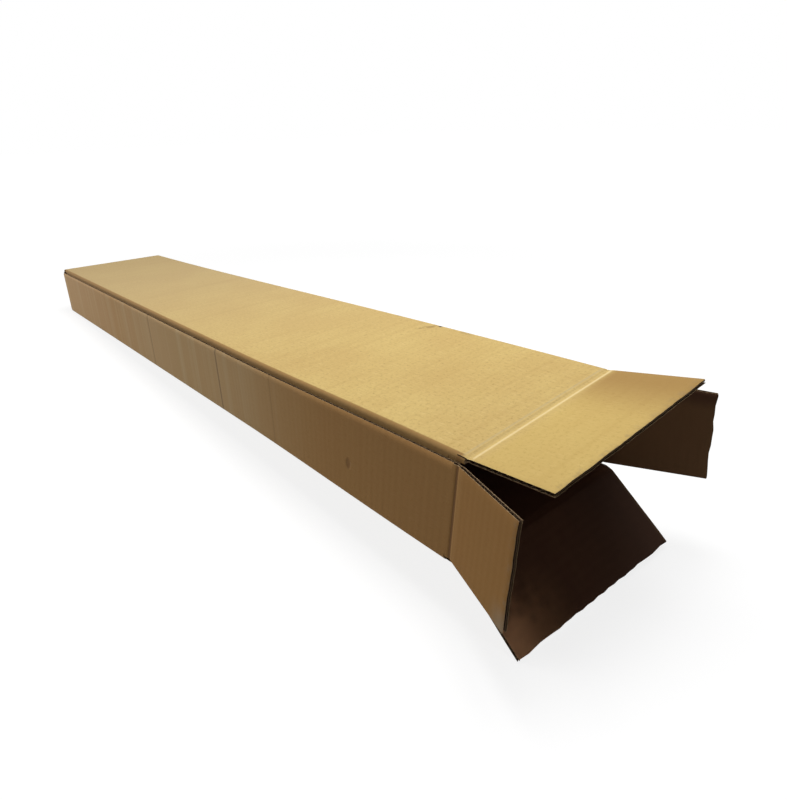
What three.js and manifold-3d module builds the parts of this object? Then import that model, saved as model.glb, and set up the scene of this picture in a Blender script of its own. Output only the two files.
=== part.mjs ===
// Long flat shipping box of single-wall corrugated board, open at one end with its four flaps spread.
// Millimetres, +Z up, +X along the box towards the open end. The box lies on its bottom panel and is
// propped by the free edge of its bottom flap, so the whole carton is pitched up by a few degrees.

import * as THREE from 'three';
import { mergeVertices } from 'three/addons/utils/BufferGeometryUtils.js';
import Module from 'manifold-3d';

// Outside size of the folded box, measured from the side flaps' creases to the closed far face
const LENGTH = 1120;
const WIDTH = 200;
const HEIGHT = 84;

// Corrugated board: two liners with a fluted sheet between them, flutes running round the girth
const BOARD = 4;
const LINER = 0.35;
const MEDIUM = 0.3;
const FLUTE_PITCH = 7.6;

// Folds between the panels, and the glue tab that joins the sheet behind the front panel
const FOLD_INNER_RADIUS = 1;
const TAB_WIDTH = 35;
const TAB_SETBACK = 8;
const TAB_SLANT = 9;
const FRONT_CUT_BELOW_TOP = 6;

// Pressed crease between a panel and its flap: the board is crushed to a thin neck and bends about
// a small bead, with the whole width of the crease pressed thinner to both sides of it
const CREASE_HALF_WIDTH = 4.5;
const CREASE_NECK = 1.2;
const CREASE_BEAD_RADIUS = 1.2;
const HINGE_GAP = 0.3;

// The four flaps end on one straight edge of the sheet, this far out from the side flaps' creases
const FLAP_REACH = 82;
const LAYER_GAP = 0.4;
const FLAP_SIDE_CLEARANCE = 0.5;
const SLOT_INSET = 3;
const TAB_SLOT_INSET = 1;

// How far each flap stands open from the plane of its panel, in degrees
const TOP_OPEN = 9;
const BOTTOM_OPEN = 44;
const FRONT_OPEN = 18.5;
const REAR_OPEN = 25;

// Points of one flute, in degrees of its wave: rounded on the flaps, straight-sided on the long panel
const CURVED_FLUTE = [22, 80, 130, 180, 230, 280, 338];
const STRAIGHT_FLUTE = [22, 165, 195, 338];

const FOLD_STEPS = 4;
const BEAD_STEPS = 8;
const CARDBOARD_OUTSIDE = 0xb9965f;

// Values worked out from the ones above
const FOLD_OUTER_RADIUS = FOLD_INNER_RADIUS + BOARD;
const LAYER = BOARD + LAYER_GAP;
const HALF_BOARD = BOARD / 2;
const HALF_WIDTH = WIDTH / 2;
const TOP_CREASE_X = LAYER;
const BOTTOM_CREASE_X = 2 * LAYER;
const FRONT_CUT_Z = HEIGHT - FRONT_CUT_BELOW_TOP;
const TAB_FACE_Y = -HALF_WIDTH + BOARD;
const INNER_LOW_Z = BOARD + FLAP_SIDE_CLEARANCE;
const INNER_HIGH_Z = HEIGHT - BOARD - FLAP_SIDE_CLEARANCE;
const TOP_FLAP_Y = [TAB_FACE_Y + TAB_SLOT_INSET, HALF_WIDTH - SLOT_INSET];
const BOTTOM_FLAP_Y = [-HALF_WIDTH + SLOT_INSET, HALF_WIDTH - SLOT_INSET];
const FRONT_FLAP_Z = [INNER_LOW_Z, FRONT_CUT_Z];
const REAR_FLAP_Z = [INNER_LOW_Z, INNER_HIGH_Z];
const OUTER_FACE_X = -LENGTH;
const MIDDLE_FACE_X = OUTER_FACE_X + LAYER;
const INNER_FACE_X = OUTER_FACE_X + 2 * LAYER;
const TUBE_START_X = INNER_FACE_X + FOLD_OUTER_RADIUS;
const TUBE_END_X = -CREASE_HALF_WIDTH;
const JOIN_OVERLAP = 1.5;
const SOCKET_RADIUS = CREASE_BEAD_RADIUS + HINGE_GAP;

const wasm = await Module();
wasm.setup();

function arc(cx, cy, radius, fromDegrees, toDegrees, steps = FOLD_STEPS) {
  const points = [];
  for (let i = 0; i <= steps; i += 1) {
    const angle = THREE.MathUtils.degToRad(fromDegrees + ((toDegrees - fromDegrees) * i) / steps);
    points.push([cx + radius * Math.cos(angle), cy + radius * Math.sin(angle)]);
  }
  return points;
}

function outline(points, holes = []) {
  const shape = new THREE.Shape(points.map(([x, y]) => new THREE.Vector2(x, y)));
  for (const hole of holes) {
    shape.holes.push(new THREE.Path(hole.map(([x, y]) => new THREE.Vector2(x, y))));
  }
  return shape;
}

// Extrudes a section drawn in the plane across an axis: YZ for x, XZ for y and XY for z
function extrude(shapes, axis, from, to) {
  const geometry = new THREE.ExtrudeGeometry(shapes, { depth: to - from, bevelEnabled: false });
  if (axis === 'x') {
    geometry.applyMatrix4(new THREE.Matrix4().set(0, 0, 1, from, 1, 0, 0, 0, 0, 1, 0, 0, 0, 0, 0, 1));
  } else if (axis === 'y') {
    geometry.applyMatrix4(new THREE.Matrix4().set(1, 0, 0, 0, 0, 0, -1, to, 0, 1, 0, 0, 0, 0, 0, 1));
  } else {
    geometry.translate(0, 0, from);
  }
  return geometry;
}

function merged(geometry) {
  const bare = geometry.index ? geometry.toNonIndexed() : geometry;
  bare.deleteAttribute('normal');
  bare.deleteAttribute('uv');
  return mergeVertices(bare, 1e-4);
}

function toSolid(geometry) {
  const closed = merged(geometry);
  const vertProperties = new Float32Array(closed.attributes.position.array);
  const triVerts = new Uint32Array(closed.index.array);
  return new wasm.Manifold(new wasm.Mesh({ numProp: 3, vertProperties, triVerts }));
}

function toGeometry(solid) {
  const mesh = solid.getMesh();
  const geometry = new THREE.BufferGeometry();
  geometry.setAttribute('position', new THREE.BufferAttribute(mesh.vertProperties, 3));
  geometry.setIndex(new THREE.BufferAttribute(mesh.triVerts, 1));
  return geometry;
}

// One open channel between the fluted sheet and a liner, the outer one (side 1) or the inner one (-1)
function channel(start, side, phases) {
  const swing = HALF_BOARD - LINER - MEDIUM / 2;
  return phases.map((degrees, i) => {
    const phase = THREE.MathUtils.degToRad(degrees);
    const steepness = ((swing * 2 * Math.PI) / FLUTE_PITCH) * Math.sin(phase);
    const onLiner = i === 0 || i === phases.length - 1;
    const sheet = swing * Math.cos(phase) + (MEDIUM / 2) * Math.hypot(1, steepness);
    const height = onLiner ? HALF_BOARD - LINER : sheet;
    return [start + (FLUTE_PITCH * degrees) / 360, side * height];
  });
}

// Channels alternate from side to side at half the pitch, as the fluted sheet crosses between liners
function channels(from, to, phases) {
  const list = [];
  let side = 1;
  for (let start = from; start + FLUTE_PITCH <= to; start += FLUTE_PITCH / 2) {
    list.push(channel(start, side, phases));
    side = -side;
  }
  return list;
}

// The girth of the box seen from its end: four panels and the glue tab, one sheet closed by the glue
function girthSection() {
  const r = FOLD_OUTER_RADIUS;
  const i = FOLD_INNER_RADIUS;
  const left = -HALF_WIDTH + r;
  const right = HALF_WIDTH - r;
  const low = r;
  const high = HEIGHT - r;
  const tabFold = TAB_FACE_Y + r;
  const tabEnd = HEIGHT - BOARD - TAB_WIDTH;
  const outside = [
    ...arc(left, low, r, 180, 270),
    ...arc(right, low, r, 270, 360),
    ...arc(right, high, r, 0, 90),
    ...arc(tabFold, high, r, 90, 180),
    [TAB_FACE_Y, FRONT_CUT_Z],
    [-HALF_WIDTH, FRONT_CUT_Z],
  ];
  const inside = [
    ...arc(left, low, i, 180, 270),
    ...arc(right, low, i, 270, 360),
    ...arc(right, high, i, 0, 90),
    ...arc(tabFold, high, i, 90, 180),
    [TAB_FACE_Y + BOARD, tabEnd],
    [TAB_FACE_Y, tabEnd],
  ];
  return outline(outside, [inside]);
}

// Half the angle the neck of a crease takes up on a circle about the pivot
function neckDegrees(radius) {
  return THREE.MathUtils.radToDeg(Math.asin(CREASE_NECK / 2 / radius));
}

// Panel edge at an open flap: full board that thins to the crease's neck, hollowed round the bead
function lipProfile(back) {
  const spread = neckDegrees(SOCKET_RADIUS);
  return [
    [back, HALF_BOARD],
    [-CREASE_HALF_WIDTH, HALF_BOARD],
    ...arc(0, 0, SOCKET_RADIUS, 180 - spread, 180 + spread),
    [-CREASE_HALF_WIDTH, -HALF_BOARD],
    [back, -HALF_BOARD],
  ];
}

// A flap closed across the far end, with its fold: u runs inwards from the flap's outer face, v across
function closedProfile(panelFace, inwards, faceX, length) {
  const r = FOLD_OUTER_RADIUS;
  const i = FOLD_INNER_RADIUS;
  const points = [
    [TUBE_START_X + JOIN_OVERLAP, 0],
    ...arc(faceX + r, r, r, 270, 180),
    [faceX, length],
    [faceX + BOARD, length],
    ...arc(faceX + r, r, i, 180, 270),
    [TUBE_START_X + JOIN_OVERLAP, BOARD],
  ];
  return points.map(([x, depth]) => [x, panelFace + inwards * depth]);
}

// Tab trimmed back and slanted at both ends, so that it clears the side flaps
function tabTrim() {
  const bottom = HEIGHT - BOARD - TAB_WIDTH - 1;
  const top = HEIGHT - FOLD_OUTER_RADIUS;
  const near = TUBE_END_X - TAB_SETBACK;
  const far = TUBE_START_X + TAB_SETBACK;
  const nearEnd = [[near, top], [near - TAB_SLANT, bottom], [1, bottom], [1, top]];
  const farEnd = [[far, top], [far + TAB_SLANT, bottom], [TUBE_START_X, bottom], [TUBE_START_X, top]];
  const ends = [outline(nearEnd), outline(farEnd)];
  return extrude(ends, 'y', TAB_FACE_Y, TAB_FACE_Y + BOARD + JOIN_OVERLAP);
}

// Flute channels that open along the front panel's top cut edge and end at its bottom fold
function frontChannels() {
  const middle = -HALF_WIDTH + HALF_BOARD;
  const rows = channels(TUBE_START_X + FLUTE_PITCH, TUBE_END_X - FLUTE_PITCH / 2, STRAIGHT_FLUTE);
  const shapes = rows.map((row) => outline(row.map(([x, v]) => [x, middle - v])));
  return extrude(shapes, 'z', FOLD_OUTER_RADIUS, FRONT_CUT_Z + 1);
}

function bodySolid() {
  const back = TUBE_END_X - JOIN_OVERLAP;
  const lip = (pivot) => lipProfile(back - pivot);
  const across = (points, x, z) => outline(points.map(([u, v]) => [x + u, z + v]));
  const tube = toSolid(extrude(girthSection(), 'x', TUBE_START_X, TUBE_END_X));
  const topLip = extrude(across(lip(TOP_CREASE_X), TOP_CREASE_X, HEIGHT - HALF_BOARD), 'y', ...TOP_FLAP_Y);
  const lowLip = extrude(across(lip(BOTTOM_CREASE_X), BOTTOM_CREASE_X, HALF_BOARD), 'y', ...BOTTOM_FLAP_Y);
  const frontLip = extrude(across(lip(0), 0, -HALF_WIDTH + HALF_BOARD), 'z', ...FRONT_FLAP_Z);
  const rearLip = extrude(across(lip(0), 0, HALF_WIDTH - HALF_BOARD), 'z', ...REAR_FLAP_Z);
  const outerLength = FLAP_REACH - BOTTOM_CREASE_X + HALF_BOARD;
  const middleLength = FLAP_REACH - TOP_CREASE_X + HALF_BOARD;
  const innerLength = FLAP_REACH + HALF_BOARD;
  const outer = outline(closedProfile(HEIGHT, -1, OUTER_FACE_X, outerLength));
  const middle = outline(closedProfile(0, 1, MIDDLE_FACE_X, middleLength));
  const front = outline(closedProfile(-HALF_WIDTH, 1, INNER_FACE_X, innerLength));
  const rear = outline(closedProfile(HALF_WIDTH, -1, INNER_FACE_X, innerLength));
  let solid = tube;
  for (const piece of [
    topLip,
    lowLip,
    frontLip,
    rearLip,
    extrude(outer, 'y', ...TOP_FLAP_Y),
    extrude(middle, 'y', ...BOTTOM_FLAP_Y),
    extrude(front, 'z', ...FRONT_FLAP_Z),
    extrude(rear, 'z', ...REAR_FLAP_Z),
  ]) {
    solid = solid.add(toSolid(piece));
  }
  return solid.subtract(toSolid(tabTrim())).subtract(toSolid(frontChannels()));
}

// Flap drawn flat: u runs from the pivot to the cut end, v from the inner face to the outer one
function flapSolid(length, from, to) {
  const spread = neckDegrees(CREASE_BEAD_RADIUS);
  const neckEnd = Math.sqrt(SOCKET_RADIUS ** 2 - (CREASE_NECK / 2) ** 2);
  const inside = HALF_BOARD - LINER;
  const mouth = length - FLUTE_PITCH / 2;
  const boundary = [
    ...arc(0, 0, CREASE_BEAD_RADIUS, spread, 360 - spread, BEAD_STEPS),
    [neckEnd, -CREASE_NECK / 2],
    [CREASE_HALF_WIDTH, -HALF_BOARD],
    [length, -HALF_BOARD],
    [length, -inside],
    [mouth, -inside],
    [mouth, inside],
    [length, inside],
    [length, HALF_BOARD],
    [CREASE_HALF_WIDTH, HALF_BOARD],
    [neckEnd, CREASE_NECK / 2],
  ];
  const rows = channels(CREASE_HALF_WIDTH + MEDIUM, mouth - MEDIUM, CURVED_FLUTE);
  const openings = extrude(rows.map((row) => outline(row)), 'z', from - 1, to + 1);
  return toSolid(extrude(outline(boundary), 'z', from, to)).subtract(toSolid(openings));
}

const board = (name, geometry) => {
  const material = new THREE.MeshStandardMaterial({ color: CARDBOARD_OUTSIDE, roughness: 0.9, metalness: 0 });
  const mesh = new THREE.Mesh(geometry, material);
  mesh.name = name;
  return mesh;
};

// A flap hangs in a group at its crease; the group's turn about the crease is how far it stands open
function flap(name, span, length, pivot, turnFlatToPanel, openAxis, openDegrees) {
  const leaf = board(name, toGeometry(flapSolid(length, ...span)));
  const flat = new THREE.Group();
  flat.rotation.set(...turnFlatToPanel);
  flat.add(leaf);
  const hinge = new THREE.Group();
  hinge.position.set(...pivot);
  hinge.setRotationFromAxisAngle(openAxis, THREE.MathUtils.degToRad(openDegrees));
  hinge.add(flat);
  return hinge;
}

const quarter = Math.PI / 2;
const alongY = new THREE.Vector3(0, 1, 0);
const alongZ = new THREE.Vector3(0, 0, 1);
const mirrored = (span) => [-span[1], -span[0]];
const topPivot = [TOP_CREASE_X, 0, HEIGHT - HALF_BOARD];
const bottomPivot = [BOTTOM_CREASE_X, 0, HALF_BOARD];
const frontPivot = [0, -HALF_WIDTH + HALF_BOARD, 0];
const rearPivot = [0, HALF_WIDTH - HALF_BOARD, 0];

const carton = new THREE.Group();
carton.add(board('carton_body', toGeometry(bodySolid())));
carton.add(flap('top_flap', mirrored(TOP_FLAP_Y), FLAP_REACH - TOP_CREASE_X, topPivot,
  [quarter, 0, 0], alongY, -TOP_OPEN));
carton.add(flap('bottom_flap', BOTTOM_FLAP_Y, FLAP_REACH - BOTTOM_CREASE_X, bottomPivot,
  [-quarter, 0, 0], alongY, BOTTOM_OPEN));
carton.add(flap('front_flap', mirrored(FRONT_FLAP_Z), FLAP_REACH, frontPivot,
  [2 * quarter, 0, 0], alongZ, -FRONT_OPEN));
carton.add(flap('rear_flap', REAR_FLAP_Z, FLAP_REACH, rearPivot, [0, 0, 0], alongZ, REAR_OPEN));

// The carton rests on its far bottom fold and on the outer edge of the open bottom flap
const open = THREE.MathUtils.degToRad(BOTTOM_OPEN);
const bottomFlapLength = FLAP_REACH - BOTTOM_CREASE_X;
const restX = BOTTOM_CREASE_X + bottomFlapLength * Math.cos(open) - HALF_BOARD * Math.sin(open);
const restZ = HALF_BOARD - bottomFlapLength * Math.sin(open) - HALF_BOARD * Math.cos(open);
const farFootX = MIDDLE_FACE_X + FOLD_OUTER_RADIUS;
carton.rotation.y = -Math.atan2(-restZ, restX - farFootX);

// Origin on the floor, under the middle of the whole carton with its flaps spread
const box = new THREE.Group();
box.add(carton);
box.updateMatrixWorld(true);
const bounds = new THREE.Box3().setFromObject(box, true);
carton.position.set(-(bounds.min.x + bounds.max.x) / 2, -(bounds.min.y + bounds.max.y) / 2, -bounds.min.z);

export default box;
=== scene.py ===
# A long flat shipping carton of single-wall corrugated board. It lies on its bottom panel with its
# open end raised a little by the bottom flap, and the four flaps of that end stand spread.

import math

import bpy
import numpy as np
from mathutils import Matrix, Vector


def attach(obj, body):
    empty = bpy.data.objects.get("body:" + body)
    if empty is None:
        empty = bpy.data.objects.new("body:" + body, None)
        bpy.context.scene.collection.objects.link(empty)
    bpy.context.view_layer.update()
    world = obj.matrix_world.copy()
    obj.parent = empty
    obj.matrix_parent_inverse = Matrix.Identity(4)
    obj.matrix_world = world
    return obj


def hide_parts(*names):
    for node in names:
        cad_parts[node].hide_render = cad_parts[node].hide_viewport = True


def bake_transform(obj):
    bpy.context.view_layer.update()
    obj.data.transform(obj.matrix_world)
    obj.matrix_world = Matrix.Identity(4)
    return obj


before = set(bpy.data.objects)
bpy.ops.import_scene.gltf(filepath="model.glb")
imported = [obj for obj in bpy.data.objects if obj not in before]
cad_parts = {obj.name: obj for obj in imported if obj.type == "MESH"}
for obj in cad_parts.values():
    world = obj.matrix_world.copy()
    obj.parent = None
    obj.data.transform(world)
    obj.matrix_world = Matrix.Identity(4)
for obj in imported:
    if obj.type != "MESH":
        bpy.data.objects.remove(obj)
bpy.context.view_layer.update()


# The carton's lie on the floor. Its own axes start at the front flap's crease on the underside, with
# x along the box to the open end, y across it and z up; the bottom flap's edge tips it up a little.
# All sizes below are millimetres in these axes.
PITCH = math.radians(2.459711)
CARTON_ORIGIN = np.array((0.522113, -0.004276, 0.047663))
CARTON_TURN = np.array(((math.cos(PITCH), 0, -math.sin(PITCH)), (0, 1, 0),
                        (math.sin(PITCH), 0, math.cos(PITCH))))
METRES = 0.001


def on_floor(points_mm):
    return np.asarray(points_mm, float) @ CARTON_TURN.T * METRES + CARTON_ORIGIN


# Kraft paper over flutes: the outside liner of the sheet. Unbleached fibre, matt, with the flutes
# printing through as faint ribs round the girth, and scuffs where the carton has been handled.
class Shade:
    """A socket of a shader that adds, subtracts and multiplies with numbers and other sockets."""

    def __init__(self, tree, socket):
        self.tree = tree
        self.socket = socket

    def node(self, kind, settings=(), out=0, **values):
        """Adds a node; a value's name is its socket's, or i and its index."""
        made = self.tree.nodes.new(kind)
        for name, value in dict(settings).items():
            setattr(made, name, value)
        for name, value in values.items():
            indexed = name[0] == "i" and name[1:].isdigit()
            key = int(name[1:]) if indexed else name.replace("_", " ")
            if isinstance(value, Shade):
                self.tree.links.new(value.socket, made.inputs[key])
            else:
                made.inputs[key].default_value = value
        return Shade(self.tree, made.outputs[out])

    def maths(self, operation, *values):
        inputs = {f"i{i}": value for i, value in enumerate(values)}
        return self.node("ShaderNodeMath", {"operation": operation}, **inputs)

    def __add__(self, other):
        return self.maths("ADD", self, other)

    def __radd__(self, other):
        return self.maths("ADD", other, self)

    def __sub__(self, other):
        return self.maths("SUBTRACT", self, other)

    def __rsub__(self, other):
        return self.maths("SUBTRACT", other, self)

    def __mul__(self, other):
        return self.maths("MULTIPLY", self, other)

    def __rmul__(self, other):
        return self.maths("MULTIPLY", other, self)

    def step(self, low, high):
        """A soft rise from 0 at low to 1 at high, or a fall where high is the smaller."""
        settings = {"interpolation_type": "SMOOTHSTEP"}
        return self.node("ShaderNodeMapRange", settings, Value=self, From_Min=low, From_Max=high)

    def near(self, middle, reach):
        """A soft band, 1 round middle and 0 past reach."""
        return 1 - self.maths("ABSOLUTE", self - middle).step(reach * 0.35, reach)

    def wave(self, period, phase=0.0):
        return self.maths("SINE", self * (2 * math.pi / period) + phase)

    def tinted(self, colour, share):
        settings = {"data_type": "RGBA"}
        return self.node("ShaderNodeMix", settings, out=2, i0=share, i6=self, i7=(*colour, 1))

    def between(self, first, second):
        settings = {"data_type": "RGBA"}
        return self.node("ShaderNodeMix", settings, out=2, i0=self, i6=(*first, 1), i7=(*second, 1))


def paper(name):
    """A matt material with its place on the flat sheet: along the box, round its girth, and fluting."""
    material = bpy.data.materials.new(name)
    material.use_nodes = True
    tree = material.node_tree
    tree.nodes["Principled BSDF"].inputs["Specular IOR Level"].default_value = 0.25
    place = tree.nodes.new("ShaderNodeAttribute")
    place.attribute_name = "sheet"
    sheet = Shade(tree, place.outputs["Vector"])
    axes = sheet.node("ShaderNodeSeparateXYZ", Vector=sheet).socket.node
    along, girth, fluting = (Shade(tree, output) for output in axes.outputs)
    return material, sheet, along, girth, fluting


def fibres(sheet, scale_along, scale_girth, scale, detail=3.0, rough=0.6):
    """Noise, stretched along the box or round its girth."""
    stretched = sheet.node("ShaderNodeVectorMath", {"operation": "MULTIPLY"},
                           i0=sheet, i1=(scale_along, scale_girth, 1))
    return stretched.node("ShaderNodeTexNoise", {"noise_dimensions": "3D"}, Vector=stretched,
                          Scale=scale, Detail=detail, Roughness=rough)


def finish_paper(material, colour, rough, relief):
    tree = material.node_tree
    shader = tree.nodes["Principled BSDF"]
    tree.links.new(colour.socket, shader.inputs["Base Color"])
    tree.links.new(rough.socket, shader.inputs["Roughness"])
    bump = relief.node("ShaderNodeBump", Height=relief, Distance=METRES, Strength=1.0)
    tree.links.new(bump.socket, shader.inputs["Normal"])


FLUTE_PITCH = 7.6
KRAFT_DEEP, KRAFT_PALE = (0.595, 0.415, 0.150), (0.640, 0.465, 0.172)
SPECK, HAIR, RIB = (0.40, 0.25, 0.08), (0.78, 0.60, 0.27), (0.44, 0.27, 0.085)
# The colour of the painted shade on the fold over the glued edge
TURNED_EDGE_SHADE = (0.27, 0.142, 0.045)

kraft, sheet, along, girth, _ = paper("kraft_outside")
on_front = girth.step(497.5, 500)
off_front = 1 - on_front
on_top = girth.step(34, 40) * girth.step(234, 228)

clouds = fibres(sheet, 1, 1, 0.011, 4.0, 0.55)
speckle = fibres(sheet, 1, 1, 0.30, 4.0, 0.75)
hairs = fibres(sheet, 0.35, 2.6, 0.22, 4.0, 0.7)
ribs = fibres(sheet, 1, 0.02, 0.13, 2.0, 0.5)
colour = clouds.step(0.34, 0.68).between(KRAFT_DEEP, KRAFT_PALE)
colour = colour.tinted(SPECK, 0.60 * speckle.step(0.49, 0.70))
colour = colour.tinted(HAIR, 0.44 * hairs.step(0.51, 0.73))
colour = colour.tinted(RIB, 0.20 * ribs.step(0.46, 0.74))

# The panel that carries the joint is painted darker and browner than the top: painted shade of the long
# side, which faces away from the lamp above. It is streaked towards its far end, and painted paler and
# greyer there: a painted sheen of light grazing it
# Painted shade: the long side's colour darkened and browned
colour = colour.tinted((0.385, 0.178, 0.056), 0.74 * on_front)
streaks = fibres(sheet, 1, 0.004, 0.045, 3.0, 0.75).step(0.46, 0.66)
colour = colour.tinted((0.56, 0.42, 0.235), 0.36 * streaks * along.step(-150, -420) * on_front)
# Painted sheen: the middle and far part of the long side painted paler and greyer, for light grazing it
colour = colour.tinted((0.58, 0.47, 0.28), 0.30 * along.near(-470, 330) * on_front)
colour = colour.tinted((0.60, 0.46, 0.30), 0.30 * along.step(-420, -1080) * on_front)
# Painted shade: the other panels painted darker and greyer towards the far end, where the lamp's light
# falls off
colour = colour.tinted((0.43, 0.325, 0.195), 0.52 * along.step(-60, -900) * off_front)

# Where the web turns over the glued edge it is painted browner, down to the tab behind the panel:
# painted shade of the fold's face, which turns towards the side and away from the lamp
colour = colour.tinted(TURNED_EDGE_SHADE, 0.86 * girth.step(38.8, 37.4) * along.step(2, -3))
colour = colour.tinted(TURNED_EDGE_SHADE, 0.86 * girth.step(33, 31) * along.step(-7, -6))

# Painted shade: towards the open end the front panel is painted darker and browner, and the front flap
# too, since the lamps light the side's far part more; the other flaps have a tone of their own
colour = colour.tinted((0.22, 0.098, 0.026), 0.34 * along.step(-420, -40) * on_front)
colour = colour.tinted((0.26, 0.115, 0.018), 0.34 * along.step(2, 12) * on_front)
colour = colour.tinted((0.56, 0.385, 0.105), 0.40 * along.step(8, 20) * off_front)

# Grey dirt at the front flap's lower outer corner, and a browner rear corner of the top flap
dirt = along.step(60, 80) * girth.step(524, 504) * on_front
colour = colour.tinted((0.34, 0.28, 0.20), 0.60 * dirt)
brown_corner = along.step(4, 16) * girth.step(130, 215) * girth.step(234, 228)
colour = colour.tinted((0.33, 0.185, 0.055), 0.80 * brown_corner)

# Cross score lines where the long side was bent while it was flat: place, reach and depth
SCORES = ((-385.5, 2.6, 0.70), (-614.9, 3.2, 0.42), (-259.3, 2.2, 0.25))
for middle, reach, depth in SCORES:
    colour = colour.tinted((0.20, 0.115, 0.05), depth * along.near(middle, reach) * on_front)

# A small dent in the long side, dark in its middle
DENT_ALONG, DENT_GIRTH = (-128, 4.5), (530.5, 6.5)
dent_along = (along - DENT_ALONG[0]) * (1 / DENT_ALONG[1])
dent_girth = (girth - DENT_GIRTH[0]) * (1 / DENT_GIRTH[1])
dent = 1 - (dent_along * dent_along + dent_girth * dent_girth).step(0.0, 1.0)
colour = colour.tinted((0.13, 0.06, 0.02), 0.50 * dent)

# Handling marks on the top panel: a slanted brown smear, a black fleck and a pale rub
SMEAR_ALONG, SMEAR_SLOPE, SMEAR_LINE = (-218.5, 9), 1.26, (490, 8)
FLECK_ALONG, FLECK_GIRTH = (-207, 3.2), (225, 2.4)
RUB_ALONG, RUB_GIRTH = (-166, 12), (224, 4)
smear = along.near(*SMEAR_ALONG) * (girth - SMEAR_SLOPE * along).near(*SMEAR_LINE)
smear = smear * fibres(sheet, 0.4, 1, 0.3).step(0.34, 0.56)
colour = colour.tinted((0.26, 0.155, 0.050), 0.60 * smear)
colour = colour.tinted((0.02, 0.015, 0.008), 0.95 * along.near(*FLECK_ALONG) * girth.near(*FLECK_GIRTH))
colour = colour.tinted((0.34, 0.22, 0.085), 0.35 * along.near(*RUB_ALONG) * girth.near(*RUB_GIRTH))

# Painted highlights on both pressed shoulders of the top crease, and painted shade in the score between
# them and along the front crease
colour = colour.tinted((0.86, 0.70, 0.38), 0.60 * along.near(8.3, 1.7) * on_top)
colour = colour.tinted((0.46, 0.37, 0.23), 0.38 * along.near(-0.8, 1.6) * on_top)
colour = colour.tinted((0.50, 0.37, 0.17), 0.16 * along.near(3.0, 3.2) * on_top)
colour = colour.tinted((0.13, 0.062, 0.022), 0.75 * along.near(-0.6, 1.9) * on_front)

# Scuffed grey fibre at the free edges of the flaps
worn = along.step(74, 83) * fibres(sheet, 1, 1, 0.16, 4.0).step(0.45, 0.70)
colour = colour.tinted((0.30, 0.215, 0.125), 0.55 * worn)

relief = 0.030 * along.wave(FLUTE_PITCH) + 0.035 * speckle + 0.03 * hairs
relief = relief - 0.25 * along.near(*SCORES[0][:2]) * on_front - 0.6 * dent
finish_paper(kraft, colour, 0.78 + 0.14 * clouds, relief)


# The inside liner: the same board from its other face, a duller brown that shows more of the flutes,
# because the glue lines draw it down between them. Its colour is kept far darker than the outside: a
# browner liner with the carton's inner shade painted in.
LINING_DEEP, LINING_PALE = (0.105, 0.044, 0.022), (0.140, 0.062, 0.032)

lining, sheet, along, girth, _ = paper("kraft_inside")
clouds = fibres(sheet, 1, 1, 0.016, 4.0, 0.6)
speckle = fibres(sheet, 1, 1, 0.8, 2.0, 0.7)
colour = clouds.step(0.35, 0.68).between(LINING_DEEP, LINING_PALE)
colour = colour.tinted((0.08, 0.04, 0.02), 0.35 * speckle.step(0.55, 0.78))
# The bottom flap is painted lighter and reddish at its near corner, a painted pool of the light that
# reaches it past the top flap, and painted dark in the mouth, a painted shade
painted_light = along.step(26, 66) * girth.step(425, 486) * fibres(sheet, 1, 1, 0.03, 2.0).step(0.20, 0.55)
colour = colour.tinted((0.72, 0.370, 0.185), 0.95 * painted_light)
# Painted shade deep in the mouth, under the top and rear flaps
mouth_shade = along.step(4, 14) * girth.step(420, 330) * girth.step(300, 308)
colour = colour.tinted((0.030, 0.013, 0.007), 0.72 * mouth_shade)
# The rear flap is paler, where more light has reached it
rear_pale = along.step(-4, 20) * girth.step(232, 246) * girth.step(312, 300)
colour = colour.tinted((0.31, 0.165, 0.072), 0.75 * rear_pale)
relief = 0.05 * along.wave(FLUTE_PITCH, 1.6) + 0.04 * speckle
finish_paper(lining, colour, 0.84 + 0.1 * clouds, relief)


# The cut edge: two liners with the fluted sheet between them, torn fibres left by the die, darker than
# the faces because light falls into the open flutes.
cut_edge, sheet, along, girth, fluting = paper("cut_board")
torn = fibres(sheet, 1, 1, 0.8, 4.0, 0.7)
colour = torn.step(0.35, 0.7).between((0.33, 0.215, 0.115), (0.50, 0.355, 0.20))
colour = colour.tinted((0.085, 0.048, 0.027), 0.80 * fluting)
finish_paper(cut_edge, colour, 0.86 + 0.1 * torn, 0.08 * torn)


# How the open end stands: the mouth of a carton that has been opened by hand isn't quite square, so
# each of its corners leans a few millimetres (x, y, z), and the lean dies out along the panels, for
# the upper rear corner only at the far end. The flaps' free ends lean by the second set.
# The corners' order is lower front, lower rear, upper front, upper rear.
MOUTH_LEAN = ((1.0, -1.1, -3.6), (-4.0, -2.1, 1.3), (5.0, 8.0, -1.5), (-8.0, 0.0, 12.0))
EDGE_LEAN = ((0.0, -1.1, -3.6), (0.0, -2.1, 1.3), (0.0, 8.6, 0.1), (0.0, -1.3, 5.9))
LEAN_LENGTHS = np.array((330.0, 330.0, 330.0, 1106.2))
HALF_WIDTH = 100.0
HEIGHT = 84.0


def lean(x, y, z, reached=0.0):
    """The lean at a place of the box, or on a flap, reached being its share of the way to the edge."""
    reached = np.asarray(reached)[..., None, None]
    near = np.clip(1 + x[..., None] / LEAN_LENGTHS, 0, 1)
    near = near * near * (3 - 2 * near)
    corners = (1 - reached) * np.array(MOUTH_LEAN) + reached * np.array(EDGE_LEAN)
    corners = corners * near[..., None]
    across = np.clip((y + HALF_WIDTH) / (2 * HALF_WIDTH), 0, 1)[..., None]
    up = np.clip(z / HEIGHT, 0, 1)[..., None]
    low = (1 - across) * corners[..., 0, :] + across * corners[..., 1, :]
    high = (1 - across) * corners[..., 2, :] + across * corners[..., 3, :]
    return (1 - up) * low + up * high


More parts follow.
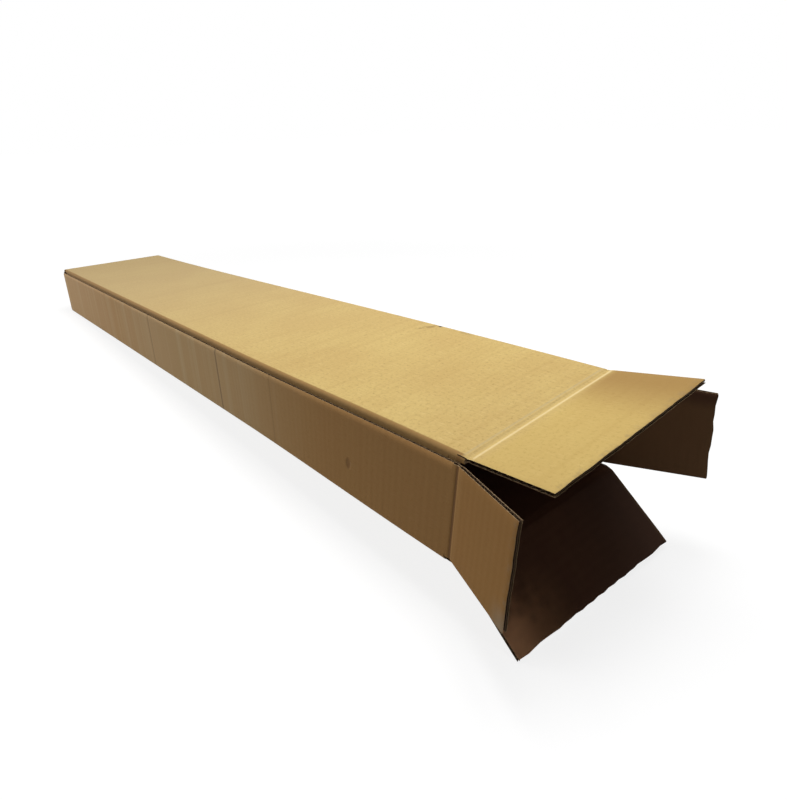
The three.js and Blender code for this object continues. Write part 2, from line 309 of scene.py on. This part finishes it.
# A piece of sheet is built face by face: each layer is a thin closed slab between two depths through
# the board, laid over a grid of places along the box and round the girth.
BOARD = 4.0
LINER = 0.35
MEDIUM = 0.3
OUTSIDE, INSIDE, CUT = range(3)
SHARP_ANGLE = math.radians(38)


class Sheet:
    def __init__(self, name):
        self.name = name
        self.points, self.faces, self.paints, self.places = [], [], [], []
        self.count = 0

    def slab(self, where, place, rows, columns, low, high, low_paint=CUT, high_paint=CUT):
        """where(a, b, depth) gives points in the carton's axes, place(a, b) those on the flat sheet."""
        a, b = np.meshgrid(rows, columns, indexing="ij")
        for depth in (high, low):
            self.points.append(where(a, b, depth(a)).reshape(-1, 3))
            self.places.append(place(a, b).reshape(-1, 3))
        index = np.arange(a.size).reshape(a.shape) + self.count
        under = index + a.size
        self.count += 2 * a.size
        rims = ((index[0], under[0]), (index[:, -1], under[:, -1]),
                (index[-1, ::-1], under[-1, ::-1]), (index[::-1, 0], under[::-1, 0]))
        grids = [(index, high_paint), (under[:, ::-1], low_paint)]
        grids += [(np.stack(rim, 1), CUT) for rim in rims]
        for grid, paint in grids:
            corners = [grid[:-1, :-1], grid[1:, :-1], grid[1:, 1:], grid[:-1, 1:]]
            quads = np.stack(corners, -1).reshape(-1, 4)
            self.faces.append(quads)
            self.paints.append(np.full(len(quads), paint))

    def made(self):
        mesh = bpy.data.meshes.new(self.name)
        faces = np.concatenate(self.faces)
        mesh.from_pydata(on_floor(np.concatenate(self.points)).tolist(), [], faces.tolist())
        paints = np.concatenate(self.paints).astype(np.int32)
        mesh.polygons.foreach_set("material_index", paints)
        place = mesh.attributes.new("sheet", "FLOAT_VECTOR", "POINT")
        place.data.foreach_set("vector", np.concatenate(self.places).astype(np.float32).ravel())
        mesh.update()
        piece = bpy.data.objects.new(self.name, mesh)
        bpy.context.scene.collection.objects.link(piece)
        bpy.context.view_layer.objects.active = piece
        piece.select_set(True)
        bpy.ops.object.mode_set(mode="EDIT")
        bpy.ops.mesh.select_all(action="SELECT")
        bpy.ops.mesh.normals_make_consistent(inside=False)
        bpy.ops.object.mode_set(mode="OBJECT")
        piece.select_set(False)
        mesh.polygons.foreach_set("use_smooth", np.ones(len(faces), bool))
        mesh.set_sharp_from_angle(angle=SHARP_ANGLE)
        for material in (kraft, lining, cut_edge):
            mesh.materials.append(material)
        return piece


def evenly(start, end, step):
    return np.linspace(start, end, max(2, int(math.ceil(abs(end - start) / step)) + 1))


def level(value):
    return lambda a: np.full(a.shape, value)


def fluted(a, swing):
    return swing * np.cos(2 * math.pi * a / FLUTE_PITCH)


# The girth of the carton: glue tab, top, rear, bottom and front panels in one run of board with a
# rounded fold between each pair, and the tab glued down behind the front panel's upper edge.
# The run follows the middle of the board, so panels lie half a board inside the box's outer faces.
FOLD_RADIUS = 3.0
FOLD_LENGTH = FOLD_RADIUS * math.pi / 2
TIGHT_RADIUS = 1.4
TUBE_START, TUBE_END = -1106.2, -6.0
SIDE, TOP, LOW = HALF_WIDTH - BOARD / 2, HEIGHT - BOARD / 2, BOARD / 2
FOLD_SIDE, FOLD_TOP, FOLD_LOW = SIDE - FOLD_RADIUS, TOP - FOLD_RADIUS, LOW + FOLD_RADIUS
TAB_SIDE = SIDE - BOARD
TAB_LOW = 45.0
TAB_SETBACK = 8.0
TAB_SLANT = math.tan(math.radians(9))
TAB_EDGE = 35.3
TIGHT_START = 35.4
STRIP_LOW = 64.0
FRONT_CUT = 78.0
FRONT_CRUSH, FRONT_CRUSH_REACH = 0.42, 5
LINE_STEP, LINE_SUPPORT = 14, 0.4


def girth_run():
    """The board's middle line across the box, its outward direction and its length, place by place."""
    tight_side, tight_top = TAB_SIDE - TIGHT_RADIUS, TOP - TIGHT_RADIUS
    runs = [("line", (-TAB_SIDE, TAB_LOW), (-TAB_SIDE, tight_top)),
            (TIGHT_RADIUS, (-tight_side, tight_top), 180),
            ("line", (-tight_side, TOP), (FOLD_SIDE, TOP)),
            (FOLD_RADIUS, (FOLD_SIDE, FOLD_TOP), 90),
            ("line", (SIDE, FOLD_TOP), (SIDE, FOLD_LOW)),
            (FOLD_RADIUS, (FOLD_SIDE, FOLD_LOW), 0),
            ("line", (FOLD_SIDE, LOW), (-FOLD_SIDE, LOW)),
            (FOLD_RADIUS, (-FOLD_SIDE, FOLD_LOW), -90),
            ("line", (-SIDE, FOLD_LOW), (-SIDE, STRIP_LOW))]
    places, outwards, lengths = [], [], []
    gone = 0.0
    for kind, first, second in runs:
        if kind == "line":
            first, second = np.array(first, float), np.array(second, float)
            length = np.linalg.norm(second - first)
            heading = (second - first) / length
            support = LINE_SUPPORT / length
            inner_shares = evenly(support, 1 - support, LINE_STEP / length)
            for share in np.concatenate([[0], inner_shares, [1]]):
                places.append(first + share * (second - first))
                outwards.append((-heading[1], heading[0]))
                lengths.append(gone + share * length)
        else:
            length = kind * math.pi / 2
            for share in evenly(0, 1, 1 / 8)[1:-1]:
                angle = math.radians(second - 90 * share)
                outward = np.array((math.cos(angle), math.sin(angle)))
                places.append(np.array(first) + kind * outward)
                outwards.append(outward)
                lengths.append(gone + share * length)
        gone += length
    return np.array(places), np.array(outwards), np.array(lengths)


run_places, run_outwards, run_lengths = girth_run()
TIGHT_LENGTH = TIGHT_RADIUS * math.pi / 2
TOP_MIDDLE = TOP - TIGHT_RADIUS - TAB_LOW + TIGHT_LENGTH + TAB_SIDE - TIGHT_RADIUS
REAR_GIRTH = TOP_MIDDLE + FOLD_SIDE + FOLD_LENGTH
BOTTOM_GIRTH = REAR_GIRTH + FOLD_TOP - FOLD_LOW + FOLD_LENGTH
FRONT_GIRTH = BOTTOM_GIRTH + 2 * FOLD_SIDE + FOLD_LENGTH


def round_girth(g, x, depth):
    centre = np.stack([np.interp(g, run_lengths, run_places[:, i]) for i in (0, 1)], -1)
    out = np.stack([np.interp(g, run_lengths, run_outwards[:, i]) for i in (0, 1)], -1)
    out = out / np.linalg.norm(out, axis=-1, keepdims=True)
    half = (TUBE_END - TUBE_START) / 2
    middle = (TUBE_END + TUBE_START) / 2
    trim = np.where(g < TAB_EDGE, TAB_SETBACK + (TAB_EDGE - g) * TAB_SLANT, 0)
    x = middle + (x - middle) * (1 - trim / half)
    yz = centre + out * depth[..., None]
    return np.concatenate([x[..., None], yz], -1) + lean(x, centre[..., 0], centre[..., 1])


def turned_corner(g, x, depth):
    below = np.maximum(TIGHT_START - g, 0)
    return round_girth(np.maximum(g, TIGHT_START), x, depth) - below[..., None] * np.array((0, 0, 1))


def front_wall(x, z, depth):
    centre = np.full(x.shape, -SIDE)
    # The die crushed the cut from outside, against the tab behind it
    crush = FRONT_CRUSH * np.clip(1 - (FRONT_CUT - z) / FRONT_CRUSH_REACH, 0, 1) ** 2
    depth = (depth + BOARD / 2) * (1 - crush) - BOARD / 2
    return np.stack([x, centre - depth, z], -1) + lean(x, centre, z)


def girth_place(g, x):
    return np.stack([x, g, 0 * g], -1)


def front_place(x, z):
    return np.stack([x, FRONT_GIRTH + z - FOLD_LOW, 0 * x], -1)


def front_flutes_place(x, z):
    return front_place(x, z) + np.array((0, 0, 1))


body = Sheet("carton_body_board")
board_faces = level(-BOARD / 2), level(BOARD / 2), INSIDE, OUTSIDE
stations = np.concatenate([evenly(TUBE_START, -340, 40), evenly(-332, TUBE_END, 8)])
body.slab(round_girth, girth_place, run_lengths, stations, *board_faces)
# The glued edge's turned-over corner runs on past the panel, as far as the top flap's slot lets it,
# and down behind the cut of the front panel
body.slab(turned_corner, lambda g, x: girth_place(g - 6, x), evenly(33.6, 36.5, 0.3),
          evenly(TUBE_END, 2.0, 2), *board_faces)
body.slab(turned_corner, girth_place, evenly(30, TAB_EDGE, 1),
          evenly(TUBE_END - TAB_SETBACK, TUBE_END, 2), *board_faces)
# The front panel's upper edge, cut by the die, with its flutes open
rows = evenly(TUBE_START, TUBE_END, 8)
heights = np.array((STRIP_LOW, 71, 73, 74.5, 76, 77, FRONT_CUT))
body.slab(front_wall, front_place, rows, heights, level(BOARD / 2 - LINER), level(BOARD / 2),
          high_paint=OUTSIDE)
body.slab(front_wall, front_place, rows, heights, level(-BOARD / 2), level(LINER - BOARD / 2),
          low_paint=INSIDE)
rows = evenly(TUBE_START, TUBE_END, FLUTE_PITCH / 10)
swing = BOARD / 2 - LINER - MEDIUM / 2
body.slab(front_wall, front_flutes_place, rows, heights, lambda a: fluted(a, swing) - MEDIUM / 2,
          lambda a: fluted(a, swing) + MEDIUM / 2)


# A flap is the panel's own sheet carried past a pressed crease: both liners and the fluted sheet run on
# to a die-cut edge. At the closed end the flaps turn in through a right angle and lie on each other,
# side flaps first, then the bottom flap, then the top flap outermost, all glued flat.
CUT_CRUSH, CRUSH_REACH = 0.25, 4.0
PRESS_OUTSIDE, PRESS_INSIDE = 0.5, 0.7
PRESS_END, PRESS_FLAT, PRESS_RAMP = 3.4, 0.8, 2.6
RAG_REACH = 12
RAG_WAVES = np.array((0.19, 0.43, 1.07))
LAYER = 4.4
FLAP_REACH = 82.0
FLAP_FLAT = FLAP_REACH - FOLD_RADIUS

# For each panel: the way its outer face looks, the span of its flap between the slots, the middle of
# its board at a place of that span (y, z), and the girth there
PANELS = {
    "top": ((0, 0, 1), (-95, 97), lambda s: (s, TOP), lambda s: TOP_MIDDLE + s),
    "bottom": ((0, 0, -1), (-97, 97), lambda s: (s, LOW), lambda s: BOTTOM_GIRTH + FOLD_SIDE - s),
    "front": ((0, -1, 0), (4.5, 78), lambda s: (-SIDE, s), lambda s: FRONT_GIRTH + s - FOLD_LOW),
    "rear": ((0, 1, 0), (4.5, 79.5), lambda s: (SIDE, s), lambda s: REAR_GIRTH + FOLD_TOP - s),
}


def flap_sheet(sheet, panel, foot_x, forward, ends, bend, crease, ragged=0.0):
    """Adds a flap whose root is at foot_x; bend(s) gives its turn, the turn's start and its length."""
    outward, span, centre, girth_of = PANELS[panel]
    outward = np.array(outward, float)
    along_x = np.array((forward, 0, 0), float)
    start, end = ends
    fine = evenly(start, end, 0.1)

    def pressed(u):
        if not crease:
            return 0 * u
        rise = np.clip((u + PRESS_END) / PRESS_RAMP, 0, 1) - np.clip((u - PRESS_FLAT) / PRESS_RAMP, 0, 1)
        return rise * rise * (3 - 2 * rise)

    def outer(u):
        return BOARD / 2 - PRESS_OUTSIDE * pressed(u)

    def inner(u):
        return -BOARD / 2 + PRESS_INSIDE * pressed(u)

    def run(slope):
        return np.concatenate([[0], np.cumsum((slope[1:] + slope[:-1]) / 2 * np.diff(fine))])

    def where(u, s, depth):
        # The die crushes the board a little along its cuts
        from_cut = np.minimum(np.minimum(s - span[0], span[1] - s), end - u)
        depth = depth * (1 - CUT_CRUSH * np.clip(1 - from_cut / CRUSH_REACH, 0, 1) ** 2)
        turn, bend_start, bend_length = bend(s[0])
        result = np.zeros(u.shape + (3,))
        for j in range(u.shape[1]):
            heading = turn[j] * np.clip((fine - bend_start) / bend_length, 0, 1)
            cx = np.interp(u[:, j], fine, run(np.cos(heading)) + start)
            cn = np.interp(u[:, j], fine, run(np.sin(heading)))
            h = np.interp(u[:, j], fine, heading)
            frayed = np.clip((u[:, j] - end + RAG_REACH) / RAG_REACH, 0, 1)
            cx = cx + ragged * frayed * np.sin(s[0, j] * RAG_WAVES).sum()
            foot = np.array((foot_x, *centre(s[0, j])))
            result[:, j] = (foot + np.outer(cx - np.sin(h) * depth[:, j], along_x)
                            + np.outer(cn + np.cos(h) * depth[:, j], outward))
            if crease:
                x = np.minimum(foot[0] + cx * forward, 0)
                y, z = np.full(x.shape, foot[1]), np.full(x.shape, foot[2])
                result[:, j] += lean(x, y, z, np.clip(u[:, j] / end, 0, 1))
        return result

    def place(u, s):
        return np.stack([foot_x + u * forward, girth_of(s), 0 * u], -1)

    def flutes_place(u, s):
        return place(u, s) + np.array((0, 0, 1))

    def medium(side):
        def depth(u):
            middle = (outer(u) + inner(u)) / 2
            room = (outer(u) - inner(u)) / 2 - LINER - MEDIUM / 2
            return middle + fluted(u, room) + side * MEDIUM / 2
        return depth

    # The rows lie closer where the board bends, and at its cuts
    if crease:
        rows = [evenly(start, -5, 2), evenly(-4.6, 4.6, 0.4), evenly(5.2, 20, 0.8),
                evenly(24, end - 5, 5), evenly(end - 4, end, 1)]
    else:
        rows = [evenly(start, start + 14, 0.7), evenly(start + 16, end, 9)]
    rows = np.concatenate(rows)
    columns = np.concatenate([[span[0], span[0] + 1.5], evenly(span[0] + 3, span[1] - 3, 7),
                              [span[1] - 1.5, span[1]]])
    sheet.slab(where, place, rows, columns, lambda u: outer(u) - LINER, outer, high_paint=OUTSIDE)
    sheet.slab(where, place, rows, columns, inner, lambda u: inner(u) + LINER, low_paint=INSIDE)
    rows = evenly(start, end, FLUTE_PITCH / 10)
    sheet.slab(where, flutes_place, rows, columns, medium(-1), medium(1))


def square(rise):
    return lambda s: (np.full(s.shape, -math.pi / 2), rise, FOLD_LENGTH)


for panel, rise in (("top", 2 * LAYER), ("bottom", LAYER), ("front", 0.01), ("rear", 0.01)):
    flap_sheet(body, panel, TUBE_START, -1, (0, FOLD_LENGTH + FLAP_FLAT), square(rise), crease=False)
carton = body.made()
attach(carton, "carton")
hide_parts("carton_body")


# The four open flaps, of the same board, each past its crease. Each stands at its own angle and is a
# little twisted from handling, so its two ends are given: the turn at the low end of its span and at
# the high end, in degrees outwards. The last value is how ragged its cut edge is.
OPEN_FLAPS = (
    ("top", LAYER, (1.9, 14.4), 0.12),
    ("bottom", 2 * LAYER, (40.2, 41.7), 0.38),
    ("front", 0.0, (19.8, 17.0), 0.15),
    ("rear", 0.0, (26.7, 23.8), 0.3),
)
BEND_HALF = 3.0
for panel, crease_x, turns, ragged in OPEN_FLAPS:
    flap = Sheet(panel + "_flap_board")
    outward, span, centre, _ = PANELS[panel]

    def bend(s, span=span, turns=turns):
        share = (s - span[0]) / (span[1] - span[0])
        turn = np.radians(turns[0] + share * (turns[1] - turns[0]))
        return turn, -BEND_HALF, 2 * BEND_HALF

    flap_sheet(flap, panel, crease_x, 1, (TUBE_END - crease_x, FLAP_REACH - crease_x), bend,
               crease=True, ragged=ragged)
    piece = flap.made()
    pivot = np.array((crease_x, *centre((span[0] + span[1]) / 2)))
    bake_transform(piece)
    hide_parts(panel + "_flap")


# The floor of a plain studio: a pale sweep under the carton. The camera sees it white and full bright
# further out, with the carton's soft shadow in it, while the carton gets light from a grey floor.
FLOOR_HALF = 9
FLOOR_GREY, FLOOR_SHOWN = 0.40, 0.95
GLOW, GLOW_SHARE = 1.10, 0.76
GLOW_NEAR, GLOW_FAR = 0.8, 1.7


def shown_rays(tree):
    """1 for the rays that show the floor or the room: from the camera, a gloss or through glass."""
    path = tree.nodes.new("ShaderNodeLightPath")
    seen, glossy, through = (Shade(tree, path.outputs[f"Is {ray} Ray"])
                             for ray in ("Camera", "Glossy", "Transmission"))
    return seen.maths("MINIMUM", seen + glossy + through, 1.0)


floor_paper = bpy.data.materials.new("floor_paper")
floor_paper.use_nodes = True
tree = floor_paper.node_tree
tree.nodes.clear()
out = tree.nodes.new("ShaderNodeOutputMaterial")
diffuse = tree.nodes.new("ShaderNodeBsdfDiffuse")
white = tree.nodes.new("ShaderNodeEmission")
white.inputs["Color"].default_value = (1, 1, 1, 1)
white.inputs["Strength"].default_value = GLOW
mix = tree.nodes.new("ShaderNodeMixShader")
shown = shown_rays(tree)
place = Shade(tree, tree.nodes.new("ShaderNodeTexCoord").outputs["Object"])
far = place.node("ShaderNodeVectorMath", {"operation": "LENGTH"}, out=1, i0=place)
share = shown * (GLOW_SHARE + (1 - GLOW_SHARE) * far.step(GLOW_NEAR, GLOW_FAR))
tone = FLOOR_GREY + shown * (FLOOR_SHOWN - FLOOR_GREY)
grey = tone.node("ShaderNodeCombineColor", i0=tone, i1=tone, i2=tone)
tree.links.new(grey.socket, diffuse.inputs["Color"])
tree.links.new(share.socket, mix.inputs[0])
tree.links.new(diffuse.outputs[0], mix.inputs[1])
tree.links.new(white.outputs[0], mix.inputs[2])
tree.links.new(mix.outputs[0], out.inputs[0])

corners = [(x * FLOOR_HALF, y * FLOOR_HALF, 0) for x, y in ((-1, -1), (1, -1), (1, 1), (-1, 1))]
floor_mesh = bpy.data.meshes.new("floor")
floor_mesh.from_pydata(corners, [], [(0, 1, 2, 3)])
floor_mesh.materials.append(floor_paper)
floor = bpy.data.objects.new("floor", floor_mesh)
bpy.context.scene.collection.objects.link(floor)


# The light: one broad lamp above the far side and a weaker fill from the far end, in a room that is
# nearly dark, so that the top panel is the brightest face and the mouth stays dark.
ROOM_LIGHT = 0.022
LAMP_SIZE = 1.0

world = bpy.data.worlds.new("studio")
bpy.context.scene.world = world
world.use_nodes = True
tree = world.node_tree
background = tree.nodes["Background"]
strength = shown_rays(tree) * (1 - ROOM_LIGHT) + ROOM_LIGHT
tree.links.new(strength.socket, background.inputs["Strength"])
background.inputs["Color"].default_value = (1, 1, 1, 1)

for name, place, target, power in (("key", (0.15, 0.25, 1.7), (0.45, 0.0, 0.1), 28.5),
                                   ("fill", (-1.8, -1.5, 0.9), (-0.3, -0.1, 0.05), 25)):
    lamp = bpy.data.lights.new(name, "AREA")
    lamp.size = LAMP_SIZE
    lamp.energy = power
    holder = bpy.data.objects.new(name, lamp)
    holder.location = place
    holder.rotation_euler = (Vector(target) - Vector(place)).to_track_quat("-Z", "Y").to_euler()
    bpy.context.scene.collection.objects.link(holder)


# The camera looks along the box from its open end, close and wide, held slightly off level. Its place
# and turn are given in the carton's own axes, in millimetres and degrees, and then put on the floor.
CAMERA_PLACE = (287.741, -365.694, 292.959)
AZIMUTH, ELEVATION, ROLL = 52.858, 20.247, -3.496
FOCAL_PIXELS = 634.234
CENTRE_PIXELS = (385.456, 373.327)
FRAME_PIXELS = (787, 800)
SENSOR = 36.0

a, e, r = math.radians(AZIMUTH), math.radians(ELEVATION), math.radians(ROLL)
back = np.array((math.sin(a) * math.cos(e), -math.cos(a) * math.cos(e), math.sin(e)))
right = np.array((math.cos(a), math.sin(a), 0.0))
up = np.cross(back, right)
right, up = math.cos(r) * right + math.sin(r) * up, -math.sin(r) * right + math.cos(r) * up
turned = [CARTON_TURN @ v for v in (right, up, back)]
stand = on_floor(CAMERA_PLACE)
camera = bpy.data.objects.new("camera", bpy.data.cameras.new("camera"))
bpy.context.scene.collection.objects.link(camera)
rows = [[turned[j][i] for j in range(3)] + [stand[i]] for i in range(3)]
camera.matrix_world = Matrix(rows + [[0, 0, 0, 1]])
camera.data.sensor_fit = "VERTICAL"
camera.data.sensor_height = SENSOR
camera.data.sensor_width = SENSOR
camera.data.lens = FOCAL_PIXELS / FRAME_PIXELS[1] * SENSOR
camera.data.shift_x = (FRAME_PIXELS[0] / 2 - CENTRE_PIXELS[0]) / FRAME_PIXELS[1]
camera.data.shift_y = (CENTRE_PIXELS[1] - FRAME_PIXELS[1] / 2) / FRAME_PIXELS[1]
camera.data.clip_start = 0.01
camera.data.clip_end = 40
bpy.context.scene.camera = camera
bpy.context.scene.view_settings.view_transform = "Standard"
